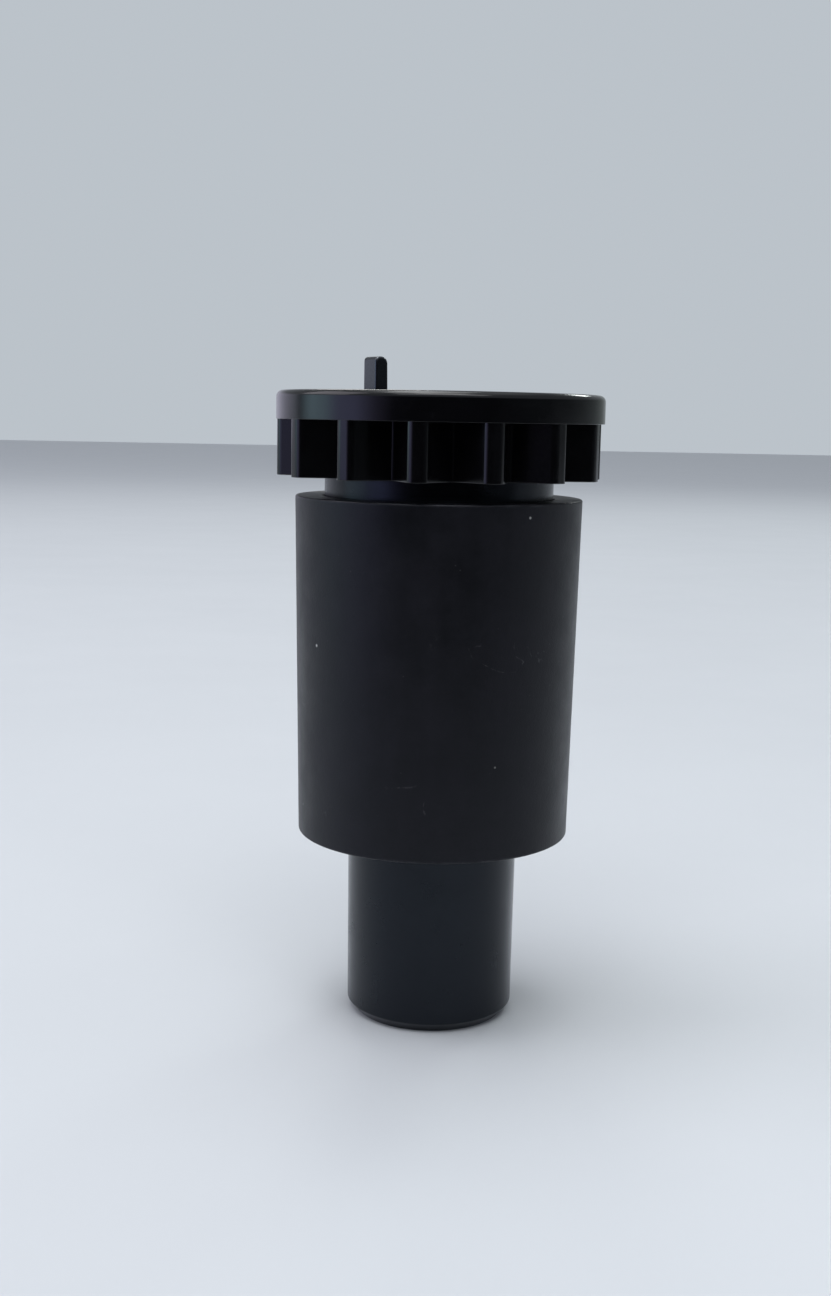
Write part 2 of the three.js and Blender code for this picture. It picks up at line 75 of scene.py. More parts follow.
# ---- mesh helpers --------------------------------------------------------------------------
SMOOTH_ANGLE = 32         # degrees; a sharper corner than this stays a hard edge


def mesh_from(mesh_tool, name):
    """Closes a bmesh in millimetres, turns its faces out and makes it a smooth mesh in metres."""
    bmesh.ops.remove_doubles(mesh_tool, verts=mesh_tool.verts, dist=MERGE)
    bmesh.ops.recalc_face_normals(mesh_tool, faces=mesh_tool.faces)
    bmesh.ops.scale(mesh_tool, vec=(MM, MM, MM), verts=mesh_tool.verts)
    mesh = bpy.data.meshes.new(name)
    mesh_tool.to_mesh(mesh)
    mesh_tool.free()
    mesh.shade_smooth()
    return mesh


def placed(name, data):
    """A new object in the scene, from a mesh, a light or a camera."""
    thing = bpy.data.objects.new(name, data)
    bpy.context.scene.collection.objects.link(thing)
    return thing


def finish(name, mesh_tool, body, node, material):
    """Turns a bmesh in millimetres into a piece that rides on a body and replaces a CAD node."""
    mesh = mesh_from(mesh_tool, name)
    mesh.set_sharp_from_angle(angle=math.radians(SMOOTH_ANGLE))
    mesh.materials.append(material)
    piece = placed(name, mesh)
    weights = piece.modifiers.new("weights", "WEIGHTED_NORMAL")
    weights.keep_sharp = True
    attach(piece, body)
    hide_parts(node)
    return piece


def arc(start, corner, end, radius, steps):
    """The points of a fillet that rounds a corner between two straight runs."""
    to_start = (start - corner).normalized()
    to_end = (end - corner).normalized()
    half = to_start.angle(to_end) / 2
    longest = FILLET_SHARE * min((start - corner).length, (end - corner).length)
    reach = min(radius / math.tan(half), longest)
    radius = reach * math.tan(half)
    bisector = (to_start + to_end).normalized()
    centre = corner + bisector * (radius / math.sin(half))
    first = (corner + to_start * reach - centre).normalized()
    last = (corner + to_end * reach - centre).normalized()
    return [centre + first.slerp(last, i / steps) * radius for i in range(steps + 1)]


def rounded(outline, steps=4):
    """Rounds an outline's corners. Each point is (radius, height) or (radius, height, fillet)."""
    corners = [Vector(point[:2]) for point in outline]
    points = []
    for i, point in enumerate(outline):
        if len(point) > 2:
            after = corners[(i + 1) % len(corners)]
            points += arc(corners[i - 1], corners[i], after, point[2], steps)
        else:
            points.append(corners[i])
    return points


def turned(outline, sides=ROUND, steps=4):
    """A solid of revolution from a closed outline, or from one that starts and ends on the axis."""
    mesh_tool = bmesh.new()
    points = rounded(outline, steps)
    on_axis = [point.x < ON_AXIS for point in points]
    columns = []
    for i in range(sides):
        angle = i / sides * TURN
        direction = Vector((math.cos(angle), math.sin(angle)))
        columns.append([mesh_tool.verts.new((p.x * direction.x, p.x * direction.y, p.y))
                        for p in points])
    count = len(points)
    for i in range(sides):
        near, far = columns[i], columns[(i + 1) % sides]
        for a in range(count):
            b = (a + 1) % count
            if on_axis[a] and on_axis[b]:
                continue
            if on_axis[a]:
                mesh_tool.faces.new((near[a], far[b], near[b]))
            elif on_axis[b]:
                mesh_tool.faces.new((near[a], far[a], near[b]))
            else:
                mesh_tool.faces.new((near[a], far[a], far[b], near[b]))
    return mesh_tool


def ring_outline(inner, outer, bottom, top, fillet):
    """A rectangular ring section with rounded corners."""
    return [(outer, bottom, fillet), (outer, top, fillet), (inner, top, fillet),
            (inner, bottom, fillet)]


def loft(rings, capped=False, mesh_tool=None):
    """Joins rings of points, all of one length. The last joins the first, or both are capped."""
    mesh_tool = mesh_tool or bmesh.new()
    rows = [[mesh_tool.verts.new(point) for point in ring] for ring in rings]
    pairs = list(zip(rows, rows[1:]))
    if not capped:
        pairs.append((rows[-1], rows[0]))
    for low, high in pairs:
        count = len(low)
        for j in range(count):
            k = (j + 1) % count
            mesh_tool.faces.new((low[j], low[k], high[k], high[j]))
    if capped:
        mesh_tool.faces.new(rows[0])
        mesh_tool.faces.new(rows[-1])
    return mesh_tool


def helix_sweep(section, radius, pitch, foot, turns, steps_per_turn, taper, mesh_tool=None):
    """Sweeps a section of (outwards, upwards) points along a helix between two turns.

    The section's depth fades away within taper turns of each end.
    """
    first, last = turns
    steps = round((last - first) * steps_per_turn)
    rings = []
    for i in range(steps + 1):
        turn = first + (last - first) * i / steps
        angle = turn * TURN
        size = min(1.0, FADED + min(turn - first, last - turn) / taper)
        ring = []
        for outwards, upwards in section:
            reach = radius + outwards * size
            ring.append((reach * math.cos(angle), reach * math.sin(angle),
                         foot + pitch * turn + upwards))
        rings.append(ring)
    return loft(rings, capped=True, mesh_tool=mesh_tool)


def combine(piece, mesh_tool, operation):
    """Joins a closed bmesh in millimetres to a piece, or cuts the piece with it."""
    tool = placed("tool", mesh_from(mesh_tool, "tool"))
    boolean = piece.modifiers.new("boolean", "BOOLEAN")
    boolean.operation = operation
    boolean.solver = "EXACT"
    boolean.object = tool
    bpy.context.view_layer.objects.active = piece
    while piece.modifiers[0] != boolean:
        bpy.ops.object.modifier_move_up(modifier=boolean.name)
    bpy.ops.object.modifier_apply(modifier=boolean.name)
    bpy.data.objects.remove(tool)
    piece.data.set_sharp_from_angle(angle=math.radians(SMOOTH_ANGLE))


def join(piece, mesh_tool):
    combine(piece, mesh_tool, "UNION")


def cut(piece, mesh_tool):
    combine(piece, mesh_tool, "DIFFERENCE")


# ---- materials -----------------------------------------------------------------------------
# Noise and spot scales count features to a metre. Bump depths and edge widths are in metres.
EDGE_START = 0.97        # cosine between the rounded and the plain normal where an edge begins
EDGE_FULL = 0.80         # and where it is at its strongest


class Nodes:
    """A small helper that builds one material's node tree."""

    def __init__(self, name):
        self.material = bpy.data.materials.new(name)
        self.material.use_nodes = True
        self.tree = self.material.node_tree
        self.shader = self.tree.nodes["Principled BSDF"]
        self.place = self.tree.nodes.new("ShaderNodeTexCoord").outputs["Object"]

    def link(self, output, node_input):
        self.tree.links.new(output, node_input)

    def scaled(self, scale):
        """The object's own coordinates, stretched."""
        mapping = self.tree.nodes.new("ShaderNodeMapping")
        mapping.inputs["Scale"].default_value = scale
        self.link(self.place, mapping.inputs["Vector"])
        return mapping.outputs["Vector"]

    def noise(self, scale, detail=3.0, roughness=0.55, stretch=(1, 1, 1), distortion=0.0):
        node = self.tree.nodes.new("ShaderNodeTexNoise")
        self.link(self.scaled(stretch), node.inputs["Vector"])
        node.inputs["Scale"].default_value = scale
        node.inputs["Detail"].default_value = detail
        node.inputs["Roughness"].default_value = roughness
        node.inputs["Distortion"].default_value = distortion
        return node.outputs["Fac"]

    def spots(self, scale, size):
        """Small round spots, 1 inside and 0 outside, one to a cell."""
        node = self.tree.nodes.new("ShaderNodeTexVoronoi")
        self.link(self.place, node.inputs["Vector"])
        node.inputs["Scale"].default_value = scale
        return self.ramp(node.outputs["Distance"], 0.0, size, 1.0, 0.0)

    def ramp(self, value, low, high, out_low, out_high):
        node = self.tree.nodes.new("ShaderNodeMapRange")
        self.link(value, node.inputs["Value"])
        node.inputs["From Min"].default_value = low
        node.inputs["From Max"].default_value = high
        node.inputs["To Min"].default_value = out_low
        node.inputs["To Max"].default_value = out_high
        return node.outputs["Result"]

    def math(self, operation, *values):
        node = self.tree.nodes.new("ShaderNodeMath")
        node.operation = operation
        for value, socket in zip(values, node.inputs):
            if isinstance(value, (int, float)):
                socket.default_value = value
            else:
                self.link(value, socket)
        return node.outputs["Value"]

    def mix(self, factor, first, second):
        """Mixes two colours, each a socket or an (r, g, b)."""
        node = self.tree.nodes.new("ShaderNodeMix")
        node.data_type = "RGBA"
        self.link(factor, node.inputs["Factor"])
        for value, index in zip((first, second), MIX_INPUTS):
            if isinstance(value, tuple):
                node.inputs[index].default_value = (*value, 1)
            else:
                self.link(value, node.inputs[index])
        return node.outputs[MIX_OUTPUT]

    def edges(self, radius):
        """1 along the piece's convex and concave edges, 0 on its plain faces."""
        soft = self.tree.nodes.new("ShaderNodeBevel")
        soft.samples = 6
        soft.inputs["Radius"].default_value = radius
        sharp = self.tree.nodes.new("ShaderNodeNewGeometry")
        dot = self.tree.nodes.new("ShaderNodeVectorMath")
        dot.operation = "DOT_PRODUCT"
        self.link(soft.outputs["Normal"], dot.inputs[0])
        self.link(sharp.outputs["Normal"], dot.inputs[1])
        return self.ramp(dot.outputs["Value"], EDGE_START, EDGE_FULL, 0.0, 1.0)

    def surface(self, colour, rough):
        """Sets the colour and the roughness."""
        self.link(colour, self.shader.inputs["Base Color"])
        self.link(rough, self.shader.inputs["Roughness"])

    def gloss(self, specular, tint=(1, 1, 1)):
        """Sets how strongly the surface reflects, and the tint of what it reflects."""
        self.shader.inputs["Specular IOR Level"].default_value = specular
        self.shader.inputs["Specular Tint"].default_value = (*tint, 1)

    def bump(self, *layers):
        """Adds bumps, each a (height socket, depth in metres, strength)."""
        last = None
        for height, distance, strength in layers:
            node = self.tree.nodes.new("ShaderNodeBump")
            node.inputs["Distance"].default_value = distance
            node.inputs["Strength"].default_value = strength
            self.link(height, node.inputs["Height"])
            if last is not None:
                self.link(last, node.inputs["Normal"])
            last = node.outputs["Normal"]
        self.link(last, self.shader.inputs["Normal"])


def moulded_plastic(name, dark, light, rough_low, rough_high, grain, wear, specular=0.5,
                    tint=(1, 1, 1), sheen=0.0):
    """Moulded plastic: cloudy colour, a fine grain, rubbed edges, short scratches and smudges."""
    m = Nodes(name)
    colour = m.mix(m.ramp(m.noise(90, 4), 0.3, 0.7, 0, 1), dark, light)
    worn = tuple(3.5 * channel + 0.012 for channel in light)
    rubbed = m.math("MULTIPLY", m.edges(0.0006), m.ramp(m.noise(420, 4), 0.42, 0.66, 0, wear))
    colour = m.mix(rubbed, colour, worn)
    scratch = m.ramp(m.noise(700, 2, stretch=(1, 1, 0.3)), 0.70, 0.76, 0, 1)
    colour = m.mix(m.math("MULTIPLY", scratch, 0.15), colour, worn)
    smudge = m.ramp(m.noise(160, 5, 0.6, distortion=0.6), 0.3, 0.7, rough_low, rough_high)
    m.surface(colour, m.math("ADD", smudge, m.math("MULTIPLY", scratch, 0.12)))
    m.gloss(specular, tint)
    m.shader.inputs["Sheen Weight"].default_value = sheen
    m.shader.inputs["Sheen Roughness"].default_value = 0.35
    m.shader.inputs["Sheen Tint"].default_value = (0.40, 0.48, 1.0, 1)
    m.bump((m.noise(2600, 3), 0.00004, grain), (m.noise(55, 2), 0.0004, 0.05))
    return m.material


def matte_sleeve():
    """The sleeve's dry charcoal plastic: blotches, faint scuffs, rubbed edges that carry a painted
    highlight, and a little dust.
    """
    m = Nodes("matte_sleeve")
    blotch = m.ramp(m.noise(75, 6, 0.65), 0.36, 0.64, 0, 1)
    streak = m.ramp(m.noise(160, 4, 0.6, stretch=(1, 1, 0.18)), 0.35, 0.65, 0, 1)
    mottle = m.math("MULTIPLY_ADD", streak, 0.35, m.math("MULTIPLY", blotch, 0.65))
    colour = m.mix(mottle, (0.0003, 0.0004, 0.0007), (0.0042, 0.0037, 0.0056))
    # scuffs are thin wandering lines, in a few patches, broken up
    wander = m.math("ABSOLUTE", m.math("SUBTRACT", m.noise(55, 3, 0.5, distortion=1.2), 0.5))
    line = m.ramp(wander, 0.0, 0.010, 1, 0)
    patch = m.ramp(m.noise(48, 2), 0.60, 0.70, 0, 1)
    broken = m.ramp(m.noise(900, 3), 0.45, 0.6, 0, 1)
    scuff = m.math("MULTIPLY", line, m.math("MULTIPLY", patch, broken))
    colour = m.mix(m.math("MULTIPLY", scuff, 0.8), colour, (0.060, 0.060, 0.064))
    # painted highlight: the lightened edges are partly rubbed wear and partly a painted highlight,
    # the light line that the sleeve's top edge catches
    rubbed = m.math("MULTIPLY", m.edges(0.0007), m.ramp(m.noise(420, 4), 0.38, 0.60, 0.15, 0.85))
    colour = m.mix(rubbed, colour, (0.17, 0.17, 0.185))
    # dust is a faint scatter of fine grains, and a few bright specks
    grains = m.math("MULTIPLY", m.spots(620, 0.10), m.ramp(m.noise(90, 2), 0.54, 0.62, 0, 0.35))
    colour = m.mix(grains, colour, (0.10, 0.10, 0.10))
    specks = m.math("MULTIPLY", m.spots(150, 0.050), m.ramp(m.noise(60, 1), 0.565, 0.585, 0, 1))
    colour = m.mix(specks, colour, (0.62, 0.62, 0.60))
    rough = m.ramp(mottle, 0.0, 1.0, 0.34, 0.46)
    m.surface(colour, m.math("ADD", rough, m.ramp(m.noise(240, 4), 0.3, 0.7, -0.03, 0.03)))
    m.gloss(0.28, (0.84, 0.88, 1.0))
    m.bump((m.noise(3200, 2), 0.00005, 0.35), (m.noise(900, 3), 0.00006, 0.25),
           (m.noise(130, 5, 0.6), 0.00010, 0.18), (specks, 0.0001, 0.6))
    return m.material


def rubber(name):
    """Matt black rubber with a fine grain."""
    m = Nodes(name)
    colour = m.mix(m.ramp(m.noise(150, 4), 0.3, 0.7, 0, 1), (0.010, 0.010, 0.010),
                   (0.018, 0.018, 0.018))
    m.surface(colour, m.ramp(m.noise(500, 3), 0.3, 0.7, 0.72, 0.9))
    m.bump((m.noise(2200, 3), 0.00005, 0.4))
    return m.material


def steel(name):
    """Drawn steel, a little streaked."""
    m = Nodes(name)
    colour = m.mix(m.ramp(m.noise(300, 4), 0.3, 0.7, 0, 1), (0.42, 0.42, 0.43),
                   (0.60, 0.60, 0.60))
    m.surface(colour, m.ramp(m.noise(900, 3, stretch=(1, 1, 0.2)), 0.3, 0.7, 0.22, 0.38))
    m.shader.inputs["Metallic"].default_value = 1.0
    m.bump((m.noise(2600, 2), 0.00002, 0.3))
    return m.material


def pale_mesh(name):
    """The filter screen's pale plastic, with fine grooves round it."""
    m = Nodes(name)
    colour = m.mix(m.ramp(m.noise(200, 3), 0.3, 0.7, 0, 1), (0.50, 0.51, 0.46),
                   (0.60, 0.61, 0.56))
    m.surface(colour, m.ramp(m.noise(500, 3), 0.3, 0.7, 0.5, 0.65))
    wave = m.tree.nodes.new("ShaderNodeTexWave")
    wave.bands_direction = "Z"
    wave.inputs["Scale"].default_value = 700
    m.link(m.place, wave.inputs["Vector"])
    m.bump((wave.outputs["Fac"], 0.0001, 0.6))
    return m.material


def pale_table():
    """The table's pale top, with painted light that makes it lighter towards the back, and which
    dims towards the edge in front.
    """
    m = Nodes("pale_table")
    colour = m.mix(m.ramp(m.noise(6, 3), 0.3, 0.7, 0, 1), (0.530, 0.551, 0.575),
                   (0.550, 0.571, 0.595))
    depth = m.tree.nodes.new("ShaderNodeSeparateXYZ")
    m.link(m.place, depth.inputs["Vector"])
    # painted light: the floor's colour grows lighter towards the back, standing in for light that
    # the far floor lacks
    colour = m.mix(m.ramp(depth.outputs["Y"], 0.3, 2.6, 0, 1), colour, (0.56, 0.58, 0.605))
    colour = m.mix(m.ramp(depth.outputs["Y"], -0.17, -0.36, 0, 1), colour, (0.10, 0.105, 0.11))
    m.surface(colour, m.ramp(m.noise(20, 4), 0.3, 0.7, 0.52, 0.60))
    m.gloss(0.3)
    m.bump((m.noise(900, 2), 0.00003, 0.15))
    return m.material


SATIN = moulded_plastic("satin_black", (0.0010, 0.0012, 0.0018), (0.0018, 0.0021, 0.0030),
                        0.15, 0.29, 0.10, 0.15, specular=0.32, tint=(0.74, 0.84, 1.0),
                        sheen=0.03)
GLOSS = moulded_plastic("gloss_black", (0.0010, 0.0010, 0.0013), (0.0018, 0.0018, 0.0023),
                        0.12, 0.20, 0.03, 0.05, specular=0.43)
TAB = moulded_plastic("frosted_black", (0.0022, 0.0025, 0.0036), (0.0036, 0.0041, 0.0056),
                      0.20, 0.28, 0.25, 0.30, specular=0.95, tint=(0.86, 0.92, 1.0))
INNER = moulded_plastic("inner_black", (0.014, 0.014, 0.016), (0.021, 0.021, 0.023),
                        0.40, 0.52, 0.15, 0.25)
SLEEVE = matte_sleeve()
RUBBER = rubber("black_rubber")
STEEL = steel("spring_steel")
SCREEN = pale_mesh("filter_mesh")


# ---- case ----------------------------------------------------------------------------------
SLEEVE_RADIUS, SLEEVE_BOTTOM, SLEEVE_TOP = span("outer_sleeve")
CAP_RADIUS, CAP_BOTTOM, CAP_TOP = span("cap")
_, _, CASE_TOP = span("case")
INLET_FOOT = 13.3            # the foot's radius, inside its chamfer
INLET_BOTTOM = 14.9          # the spigot's radius just above the chamfer
INLET_TOP = 15.15            # and at the shoulder
INLET_CHAMFER = 1.8
SHOULDER = SLEEVE_BOTTOM + 3.3
PIPE_CREST = 9.3             # radii of the inlet's female pipe thread
PIPE_ROOT = 10.3
PIPE_PITCH = 1.814
PIPE_DEPTH = 15
PIPE_FOOT = 1.3              # height at which its thread begins
PIPE_TAPER = 0.35            # turns over which its thread's ends fade
PORT = 7.0                   # radius of the hole from the pipe to the valve
VALVE_LIP = 8.0              # radius of the raised lip round that hole
LIP_HEIGHT = 0.25
VALVE_FLOOR = 18
VALVE_BORE = 12.6
CASE_BORE = 17.4
CASE_BORE_FOOT = 39
NECK_RADIUS = 20.0
NECK_TOP = 97.0
THREAD_ROOT = 19.7           # the cap's thread, on the neck
THREAD_PITCH = 3.0
THREAD_FOOT = 97.7
THREAD_TAPER = 0.06
THREAD_SECTION = ((-0.3, -0.85), (1.05, -0.38), (1.15, -0.2), (1.15, 0.2), (1.05, 0.38),
                  (-0.3, 0.85))


def make_case():
    """The inner case: spigot with a pipe thread inside, valve bore, main bore and threaded neck."""
    lip_top = VALVE_FLOOR + LIP_HEIGHT
    outline = [
        (INLET_FOOT, 0, 0.25), (INLET_BOTTOM, INLET_CHAMFER, 0.5), (INLET_TOP, SHOULDER, 0.2),
        (NECK_RADIUS - 0.2, SHOULDER, 0.6), (NECK_RADIUS, SLEEVE_TOP),
        (NECK_RADIUS, NECK_TOP, 0.15), (THREAD_ROOT, NECK_TOP + 0.1, 0.1),
        (THREAD_ROOT, CASE_TOP, 0.35), (CASE_BORE, CASE_TOP, 0.35),
        (CASE_BORE, CASE_BORE_FOOT, 0.5), (VALVE_BORE, CASE_BORE_FOOT, 0.3),
        (VALVE_BORE, VALVE_FLOOR, 0.6), (VALVE_LIP + 0.4, VALVE_FLOOR, 0.2),
        (VALVE_LIP, lip_top, 0.1), (PORT, lip_top, 0.25), (PORT, PIPE_DEPTH, 0.3),
        (PIPE_ROOT, PIPE_DEPTH, 0.2), (PIPE_ROOT, 0.9, 0.1), (PIPE_ROOT + 0.5, 0, 0.25),
    ]
    mesh_tool = turned(outline)
    # the bore is cut to the thread's root, and the thread stands in from it as a ridge
    root_half, crest_half, sunk = 0.75, 0.12, 0.15
    depth = PIPE_ROOT - PIPE_CREST
    ridge = [(sunk, -root_half), (sunk, root_half), (-depth, crest_half), (-depth, -crest_half)]
    turns = (PIPE_DEPTH - 2 * PIPE_FOOT) / PIPE_PITCH
    helix_sweep(ridge, PIPE_ROOT, PIPE_PITCH, PIPE_FOOT, (0, turns), 96, PIPE_TAPER, mesh_tool)
    helix_sweep(THREAD_SECTION, THREAD_ROOT, THREAD_PITCH, THREAD_FOOT, (0, 1), ROUND,
                THREAD_TAPER, mesh_tool)
    finish("case_body", mesh_tool, "case", "case", SATIN)


# ---- sleeve --------------------------------------------------------------------------------
SLEEVE_DRAFT = 1.0           # how much narrower the sleeve's foot is, on its radius
SLEEVE_WALL = 2.6
SLEEVE_ROOF = 2.5
SLEEVE_FLOOR = 3
SLEEVE_GAP = 0.3             # between the sleeve and the case


def make_sleeve():
    """The outer sleeve: a slightly tapered shell, with a roof and a floor that hug the case."""
    foot = SLEEVE_RADIUS - SLEEVE_DRAFT
    lip = NECK_RADIUS + SLEEVE_GAP
    web = INLET_TOP + SLEEVE_GAP
    roof = SLEEVE_TOP - SLEEVE_ROOF
    floor = SLEEVE_BOTTOM + SLEEVE_FLOOR
    outline = [
        (foot, SLEEVE_BOTTOM, 0.35), (SLEEVE_RADIUS, SLEEVE_TOP, 0.35), (lip, SLEEVE_TOP, 0.25),
        (lip, roof, 0.25), (SLEEVE_RADIUS - SLEEVE_WALL, roof, 0.5),
        (foot - SLEEVE_WALL, floor, 0.6), (web, floor, 0.25), (web, SLEEVE_BOTTOM, 0.25),
    ]
    finish("outer_sleeve_body", turned(outline), "case", "outer_sleeve", SLEEVE)


# ---- cap -----------------------------------------------------------------------------------
GRIP_COUNT = 14
GRIP_FIRST = math.radians(-8.1)       # from -Y towards +X
GRIP_HALF = 1.35             # half a rib's width at its outer face, before its rounding
GRIP_TAPER = math.radians(28)         # how far each side of a rib leans out towards its root
GRIP_CORNER = 1.5            # rounding of a rib's outer corners
GRIP_ROOT = 0.3              # rounding of the notch between two ribs
GRIP_RADIUS = 28.3
ROOT_STEPS = 8               # steps round a notch's fillet
CORNER_STEPS = 9             # and round a rib's corner
FOOT_EDGE = 0.08             # rounding of the skirt's lower edge
FOOT_STEPS = 5
SKIRT_BORE = 21.3
BACKING = SKIRT_BORE + 0.9   # the plain wall behind the ribs
BACKING_FOOT = CAP_BOTTOM + 0.4
RIM_BOTTOM = 106.0
RIM_EDGE = 1.2               # rounding of the rim's top edge
RIM_STEPS = 7
RIM_BORE = 26.2
LEDGE = 108.4                # height of the ledge inside the rim
WELL_RADIUS = 20.2           # the sunk middle of the cap
WELL_FLOOR = 105.8
CEILING = 103.8              # the underside of the cap's top
STEM_HOLE = 10.8
CAP_TURNS = (0.6, 1.9)       # where the cap's own thread begins and ends, in turns


def grip_outline(grow=0.0):
    """The skirt's notched outline, grown outwards by an amount, as a list of (x, y)."""
    half_sector = TURN / GRIP_COUNT / 2
    tip = GRIP_RADIUS + grow
    corner = GRIP_CORNER + grow
    root = GRIP_ROOT - grow
    side = Vector((math.cos(GRIP_TAPER), math.sin(GRIP_TAPER)))       # the rib side's normal
    reach = side.dot(Vector((GRIP_HALF, GRIP_RADIUS))) + grow         # the side's distance
    half_rib = []                     # from the middle of the notch to the middle of the rib
    root_distance = (reach + root) / math.sin(GRIP_TAPER + half_sector)
    root_centre = root_distance * Vector((math.sin(half_sector), math.cos(half_sector)))
    middle = QUARTER - half_sector
    for k in range(ROOT_STEPS + 1):
        angle = middle + (GRIP_TAPER - middle) * k / ROOT_STEPS
        half_rib.append(root_centre - root * Vector((math.cos(angle), math.sin(angle))))
    corner_height = tip - corner
    corner_across = (reach - corner - side.y * corner_height) / side.x
    for k in range(CORNER_STEPS + 1):
        angle = GRIP_TAPER + (QUARTER - GRIP_TAPER) * k / CORNER_STEPS
        half_rib.append(Vector((corner_across + corner * math.cos(angle),
                                corner_height + corner * math.sin(angle))))
    half_rib.append(Vector((0, tip)))
    rib = [Vector((-point.x, point.y)) for point in half_rib] + half_rib[-2:0:-1]
    points = []
    for i in range(GRIP_COUNT):
        turn = GRIP_FIRST + i * TURN / GRIP_COUNT
        for across, out in rib:
            # a turn of 0 looks along -Y
            points.append((across * math.cos(turn) + out * math.sin(turn),
                           across * math.sin(turn) - out * math.cos(turn)))
    return points


def toothed_skirt():
    """The skirt's ribbed outside, as a ring that reaches a little way up into the rim."""
    base = grip_outline()
    inner = SKIRT_BORE + 0.5
    top = RIM_BOTTOM + 0.3

    def circle(height):
        return [(inner * x / math.hypot(x, y), inner * y / math.hypot(x, y), height)
                for x, y in base]

    def toothed(grow, height):
        return [(x, y, height) for x, y in grip_outline(grow)]

    rings = [circle(top), circle(CAP_BOTTOM)]
    for k in range(FOOT_STEPS + 1):
        lean = QUARTER * k / FOOT_STEPS
        rings.append(toothed(-FOOT_EDGE * (1 - math.sin(lean)),
                             CAP_BOTTOM + FOOT_EDGE * (1 - math.cos(lean))))
    rings += [toothed(0, CAP_BOTTOM + 2 * FOOT_EDGE), toothed(0, (CAP_BOTTOM + RIM_BOTTOM) / 2),
              toothed(0, RIM_BOTTOM - FOOT_EDGE), toothed(0, top)]
    return loft(rings)


def make_cap():
    """The screw cap: a turned rim, top and wall, with the ribs and the inner thread joined on."""
    outline = [
        (BACKING, BACKING_FOOT), (BACKING, RIM_BOTTOM), (CAP_RADIUS, RIM_BOTTOM, 0.06),
        (CAP_RADIUS, CAP_TOP, RIM_EDGE), (RIM_BORE, CAP_TOP, 0.4), (RIM_BORE, LEDGE, 0.35),
        (WELL_RADIUS, LEDGE, 0.3), (WELL_RADIUS, WELL_FLOOR, 0.35), (STEM_HOLE, WELL_FLOOR, 0.25),
        (STEM_HOLE, CEILING, 0.25), (SKIRT_BORE, CEILING, 0.4), (SKIRT_BORE, BACKING_FOOT, 0.1),
    ]
    cap = finish("screw_cap", turned(outline, CAP_ROUND, RIM_STEPS), "cap", "cap", GLOSS)
    join(cap, toothed_skirt())
    ridge = [(-outwards, upwards) for outwards, upwards in reversed(THREAD_SECTION)]
    foot = THREAD_FOOT - THREAD_PITCH / 2
    join(cap, helix_sweep(ridge, SKIRT_BORE, THREAD_PITCH, foot, CAP_TURNS, ROUND, THREAD_TAPER))


# ---- riser ---------------------------------------------------------------------------------
STEM_RADIUS = 8.5
STEM_BORE = 6.6
FLANGE_HEIGHT = 1.8
HEAD_LIP = 0.8               # width and height of the head's raised edge
SEAT_RADIUS = 9.3            # the shallow seat round the nozzle
SEAT_DEPTH = 0.25
TAB_HALF_WIDTH = 2.2
TAB_HALF_DEPTH = 1.25
TAB_LEAN = 0.2               # how much the inner face leans out towards its top
TAB_SINK = 0.25              # how far the tab's foot goes into the head
TAB_OUTER_ROUND = 0.7
TAB_INNER_ROUND = 1.3
TAB_EDGE = 0.35              # rounding of the tab's side edges
TAB_STEPS = 5


def make_riser():
    """The riser's tube with its flange, and the round head with its raised edge."""
    flange, foot, top = span("riser_stem")
    step = foot + FLANGE_HEIGHT
    outline = [
        (flange, foot, 0.2), (flange, step, 0.2), (STEM_RADIUS, step, 0.5),
        (STEM_RADIUS, top, 0.35), (STEM_BORE, top, 0.3), (STEM_BORE, foot, 0.3),
    ]
    finish("riser_tube", turned(outline, RING_ROUND), "riser", "riser_stem", INNER)
    radius, low, high = span("riser_head")
    tray = high - HEAD_LIP
    seat = tray - SEAT_DEPTH
    outline = [
        (radius, low, 0.3), (radius, high, 0.25), (radius - HEAD_LIP, high, 0.25),
        (radius - HEAD_LIP, tray, 0.4), (SEAT_RADIUS + 0.3, tray, 0.2), (SEAT_RADIUS, seat, 0.1),
        (STEM_BORE, seat, 0.1), (STEM_BORE, low, 0.2),
    ]
    finish("riser_top_plate", turned(outline, HEAD_ROUND), "riser", "riser_head", SATIN)


def make_pull_tab():
    """The upright tab: its outer face is broad, and its inner top edge is well rounded."""
    low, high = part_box("pull_tab")
    centre = (low + high) / 2 / MM
    radial = Vector((centre.x, centre.y, 0)).normalized()
    across = Vector((-radial.y, radial.x, 0))
    foot = low.z / MM - TAB_SINK
    top = high.z / MM
    outline = rounded([
        (-TAB_HALF_DEPTH, foot), (TAB_HALF_DEPTH, foot), (TAB_HALF_DEPTH, top, TAB_OUTER_ROUND),
        (TAB_LEAN - TAB_HALF_DEPTH, top, TAB_INNER_ROUND),
    ], steps=8)
    middle = Vector((0, (foot + top) / 2))
    half_height = (top - foot) / 2
    sections = []                     # how far the outline is drawn in, and how far sideways it is
    for k in range(TAB_STEPS + 1):
        lean = QUARTER * k / TAB_STEPS
        sections.append((TAB_EDGE * (1 - math.sin(lean)),
                         TAB_EDGE * (1 - math.cos(lean)) - TAB_HALF_WIDTH))
    sections += [(inset, -side) for inset, side in reversed(sections)]
    rings = []
    for inset, side in sections:
        ring = []
        for point in outline:
            away = point - middle
            spot = (Vector((centre.x, centre.y, 0)) + across * side
                    + radial * away.x * (1 - inset / TAB_HALF_DEPTH))
            ring.append((spot.x, spot.y, middle.y + away.y * (1 - inset / half_height)))
        rings.append(ring)
    finish("upright_tab", loft(rings, capped=True), "riser", "pull_tab", TAB)


